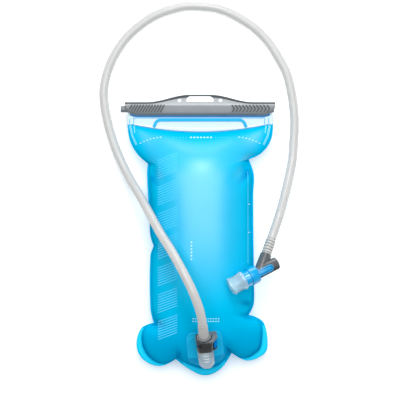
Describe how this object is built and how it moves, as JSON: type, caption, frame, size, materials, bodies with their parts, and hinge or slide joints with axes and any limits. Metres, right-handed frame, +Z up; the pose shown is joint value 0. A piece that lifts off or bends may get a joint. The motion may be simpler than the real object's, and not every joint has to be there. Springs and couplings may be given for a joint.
{
  "type": "hydration bladder",
  "caption": "Soft blue water bag lying filled on its back, closed by a sliding rail at its mouth, with a plug-in drinking hose and a twist-lock bite valve.",
  "frame": {"origin": "On the table, at the middle of the footprint of bag and slide seal, hose left out.", "axes": "X to the right and Y towards the slide seal, seen from above; Z up, out of the front film."},
  "size_m": [0.2402, 0.4491, 0.1096],
  "materials": {
    "film_blue": "soft translucent film",
    "bead_clear": "clear welded rod",
    "stiffener_blue": "smooth strip",
    "slide_grey": "satin moulding",
    "port_clear": "clear moulding",
    "seal_rubber": "smooth",
    "poppet_white": "moulded",
    "spring_steel": "drawn wire",
    "coupler_grey": "satin moulding",
    "latch_blue": "smooth",
    "ferrule_grey": "smooth",
    "hose_clear": "clear extruded",
    "collar_blue": "smooth",
    "core_blue": "smooth",
    "silicone_clear": "clear silicone"
  },
  "bodies": {
    "reservoir": {"front_film": "film_blue", "back_film": "film_blue", "front_bead": "bead_clear", "back_bead": "bead_clear", "mouth_stiffener": "stiffener_blue", "port_skirt": "film_blue", "port_elbow": "port_clear", "port_o_ring": "seal_rubber", "poppet_spring": "spring_steel"},
    "slide": {"slide_seal": "slide_grey"},
    "poppet": {"poppet": "poppet_white", "poppet_seal": "seal_rubber"},
    "hose_line": {"coupler_body": "coupler_grey", "latch_spring": "spring_steel", "hose_ferrule": "ferrule_grey", "hose": "hose_clear", "valve_elbow": "coupler_grey", "valve_o_ring": "seal_rubber"},
    "latch": {"release_latch": "latch_blue"},
    "mouthpiece": {"twist_collar": "collar_blue", "valve_core": "core_blue", "bite_valve": "silicone_clear"}
  },
  "joints": [
    {"name": "slide_open", "type": "slide", "parent": "reservoir", "child": "slide", "axis": [1, 0, 0], "range_m": [0, 0.18]},
    {"name": "hose_release", "type": "slide", "parent": "reservoir", "child": "hose_line", "axis": [-0.0877, 0.7994, 0.5943], "range_m": [0, 0.0145]},
    {"name": "poppet_close", "type": "slide", "parent": "reservoir", "child": "poppet", "axis": [-0.0877, 0.7994, 0.5943], "range_m": [0, 0.0024], "deforming": ["poppet_spring"]},
    {"name": "button_press", "type": "slide", "parent": "hose_line", "child": "latch", "axis": [-0.994, -0.1091, 0], "range_m": [0, 0.0014], "stiffness_N_per_m": 800, "springref_m": -0.004, "deforming": ["latch_spring"]},
    {"name": "collar_twist", "type": "hinge", "parent": "hose_line", "child": "mouthpiece", "pos_m": [0.092, -0.032, 0.056], "axis": [0.8645, 0.4405, -0.2419], "range_deg": [0, 90]}
  ],
  "couplings": [
    {"joint": "poppet_close", "follows": "hose_release", "ratio": 0.1655}
  ]
}
